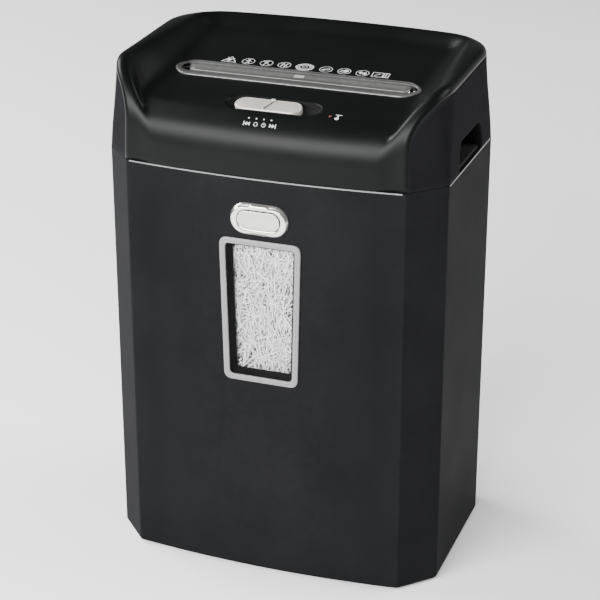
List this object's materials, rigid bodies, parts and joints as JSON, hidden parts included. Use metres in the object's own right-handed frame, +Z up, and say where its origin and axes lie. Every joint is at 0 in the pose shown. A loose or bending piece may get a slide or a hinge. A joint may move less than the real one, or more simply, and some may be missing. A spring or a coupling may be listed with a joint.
{
  "type": "paper shredder",
  "caption": "Upright paper shredder: a waste bin with a window and latch, and a lift-off cutting head with feed slot, slide switch and geared cutter rollers.",
  "frame": {"origin": "centre of the bounding box, on the floor under the feet", "axes": "+Z up; -Y is the front with the window and switch; X is the width"},
  "size_m": [0.3328, 0.2384, 0.502],
  "materials": {
    "bin_plastic": "satin black, faint moulded grain",
    "rim_metal": "bright edge",
    "window_plastic": "satin grey",
    "window_clear": "clear",
    "foot_rubber": "soft",
    "shred_paper": "loose white strips",
    "latch_silver": "silver lacquer",
    "inner_plastic": "plain black",
    "screw_steel": "zinc plated",
    "spring_steel": "bright",
    "housing_plastic": "fine grain black",
    "cover_gloss": "polished black",
    "bezel_grey": "grey metallic lacquer",
    "guide_grey": "grey metallic lacquer",
    "knob_silver": "warm silver lacquer",
    "lamp_red": "red lens",
    "gland_rubber": "matt",
    "tray_plastic": "plain black",
    "frame_steel": "zinc plated",
    "motor_steel": "plated",
    "magnet_dark": "sintered",
    "rod_steel": "turned",
    "bush_brass": "turned",
    "cutter_steel": "hardened, oiled",
    "gear_steel": "cut teeth",
    "gear_nylon": "natural nylon",
    "board_green": "circuit board",
    "capacitor_alu": "can"
  },
  "bodies": {
    "bin": {"bin_shell": "bin_plastic", "bin_rim_trim": "rim_metal", "window_frame": "window_plastic", "window_pane": "window_clear", "bin_feet": "foot_rubber", "paper_shreds": "shred_paper", "latch_surround": "latch_silver", "latch_bracket": "inner_plastic", "latch_screws": "screw_steel"},
    "head": {"head_housing": "housing_plastic", "top_cover": "cover_gloss", "slot_bezel": "bezel_grey", "rear_guide": "guide_grey", "front_guide": "guide_grey", "switch_tray": "inner_plastic", "mode_switch_block": "inner_plastic", "overheat_lamp": "lamp_red", "cable_gland": "gland_rubber", "lower_tray": "tray_plastic", "head_catch": "tray_plastic", "housing_screws": "screw_steel", "left_frame_plate": "frame_steel", "right_frame_plate": "frame_steel", "motor_can": "motor_steel", "motor_magnets": "magnet_dark", "motor_screws": "screw_steel", "motor_end_cap": "inner_plastic", "tie_rods": "rod_steel", "frame_nuts": "screw_steel", "bushes": "bush_brass", "gear_axles": "rod_steel", "front_comb": "tray_plastic", "rear_comb": "tray_plastic", "control_board": "board_green", "board_posts": "tray_plastic", "board_screws": "screw_steel", "board_parts": "inner_plastic", "capacitor": "capacitor_alu", "thermal_cutout": "inner_plastic", "interlock_switch": "inner_plastic"},
    "latch_button": {"latch_button": "latch_silver", "latch_slide": "inner_plastic", "latch_spring": "spring_steel"},
    "mode_knob": {"mode_knob": "knob_silver"},
    "rear_cutter": {"rear_cutter": "cutter_steel", "rear_sync_gear": "gear_steel", "drive_wheel": "gear_steel"},
    "front_cutter": {"front_cutter": "cutter_steel", "front_sync_gear": "gear_steel"},
    "second_gear": {"second_gear": "gear_nylon"},
    "first_gear": {"first_gear": "gear_nylon"},
    "motor_rotor": {"motor_shaft": "rod_steel", "motor_pinion": "bush_brass"}
  },
  "joints": [
    {"name": "head_lift", "type": "slide", "parent": "bin", "child": "head", "axis": [0, 0, 1], "range_m": [0, 0.12]},
    {"name": "latch_press", "type": "slide", "parent": "bin", "child": "latch_button", "axis": [0, 1, 0], "range_m": [0, 0.0035], "stiffness_N_per_m": 400, "springref_m": -0.002, "deforming": ["latch_spring"]},
    {"name": "mode_slide", "type": "slide", "parent": "head", "child": "mode_knob", "axis": [1, 0, 0], "range_m": [-0.0075, 0.015]},
    {"name": "rear_cutter_spin", "type": "hinge", "parent": "head", "child": "rear_cutter", "pos_m": [0, 0, 0.43], "axis": [1, 0, 0], "continuous": true},
    {"name": "front_cutter_spin", "type": "hinge", "parent": "head", "child": "front_cutter", "pos_m": [0, -0.036, 0.43], "axis": [1, 0, 0], "continuous": true},
    {"name": "second_gear_spin", "type": "hinge", "parent": "head", "child": "second_gear", "pos_m": [0, 0.04483, 0.42608], "axis": [1, 0, 0], "continuous": true},
    {"name": "first_gear_spin", "type": "hinge", "parent": "head", "child": "first_gear", "pos_m": [0, 0.07401, 0.44651], "axis": [1, 0, 0], "continuous": true},
    {"name": "motor_spin", "type": "hinge", "parent": "head", "child": "motor_rotor", "pos_m": [0, 0.06863, 0.41598], "axis": [1, 0, 0], "continuous": true}
  ],
  "couplings": [
    {"joint": "front_cutter_spin", "follows": "rear_cutter_spin", "ratio": -1},
    {"joint": "second_gear_spin", "follows": "rear_cutter_spin", "ratio": -4},
    {"joint": "first_gear_spin", "follows": "rear_cutter_spin", "ratio": 15},
    {"joint": "motor_spin", "follows": "rear_cutter_spin", "ratio": -62.5}
  ]
}
